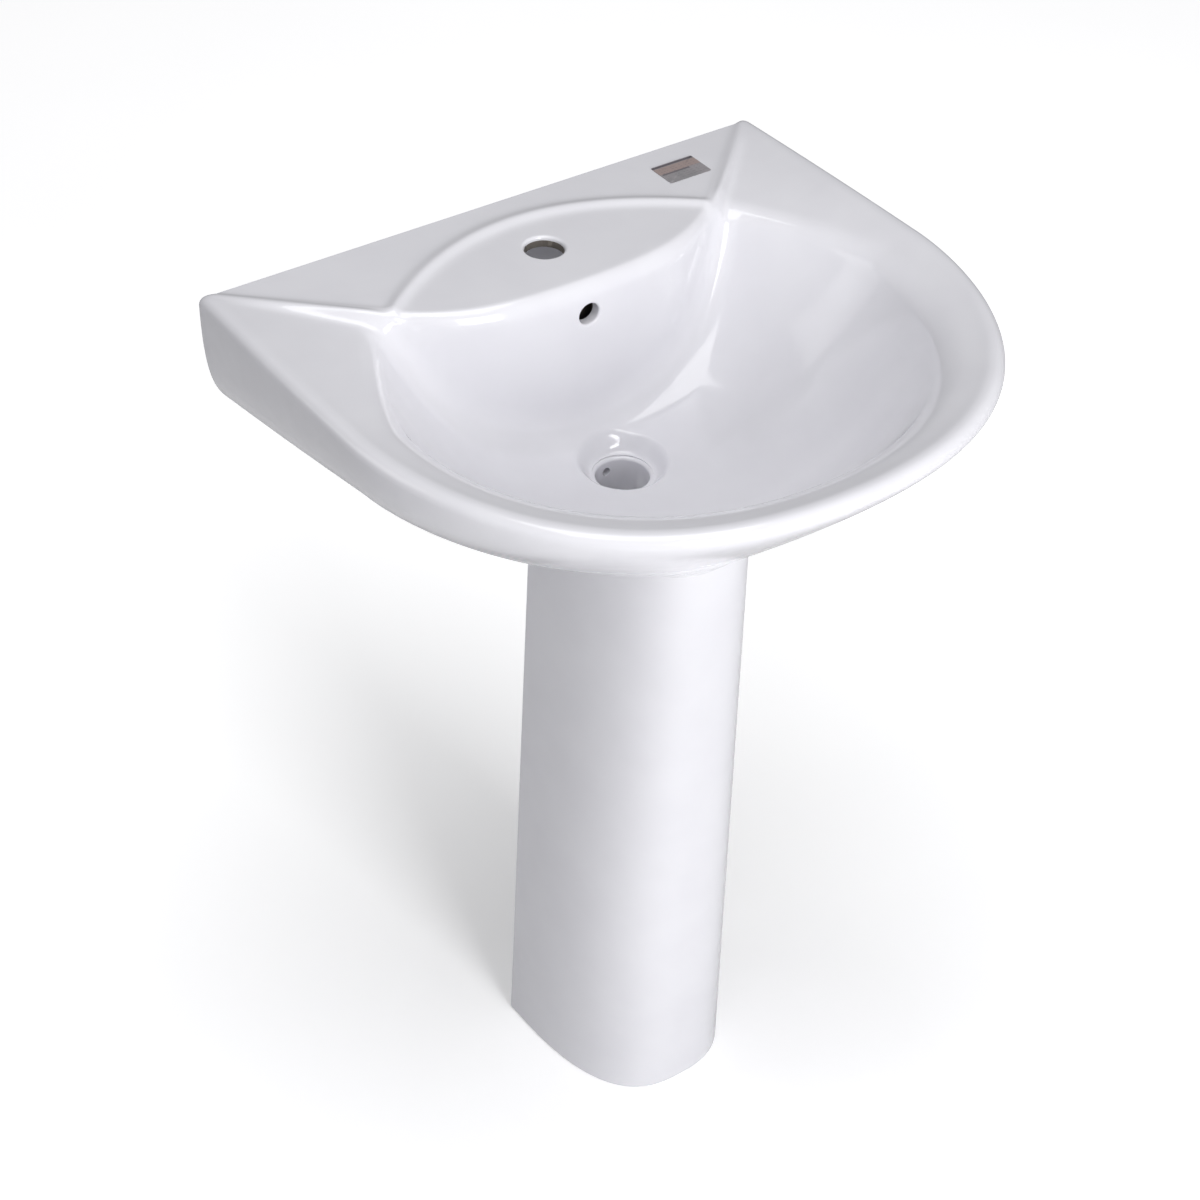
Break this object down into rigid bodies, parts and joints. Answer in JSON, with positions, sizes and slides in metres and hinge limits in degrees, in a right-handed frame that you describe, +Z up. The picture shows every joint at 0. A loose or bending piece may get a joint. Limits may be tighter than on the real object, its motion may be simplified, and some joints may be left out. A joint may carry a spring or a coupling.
{
  "type": "pedestal sink",
  "caption": "Wall-side ceramic wash basin with an oval bowl and a lens-shaped tap deck, standing on an open-backed half-round pedestal.",
  "frame": {"origin": "on the floor under the middle of the overall box, wall studs included", "axes": "+Z up, +Y towards the wall, +X to the right of a person who faces the basin"},
  "size_m": [0.58, 0.562, 0.82],
  "materials": {
    "glazed_china": "white vitreous china, glossy fired glaze, opaque",
    "soft_strip": "soft off-white foam rubber",
    "zinc_steel": "bright zinc plated steel",
    "white_nylon": "moulded white nylon",
    "label_paper": "printed paper sticker with a satin film"
  },
  "bodies": {
    "root": {"basin": "glazed_china", "pedestal": "glazed_china", "seat_strip": "soft_strip", "maker_label": "label_paper", "wall_stud_left": "zinc_steel", "wall_stud_right": "zinc_steel", "stud_bush_left": "white_nylon", "stud_bush_right": "white_nylon", "washer_left": "zinc_steel", "washer_right": "zinc_steel", "nut_left": "zinc_steel", "nut_right": "zinc_steel"}
  },
  "joints": []
}
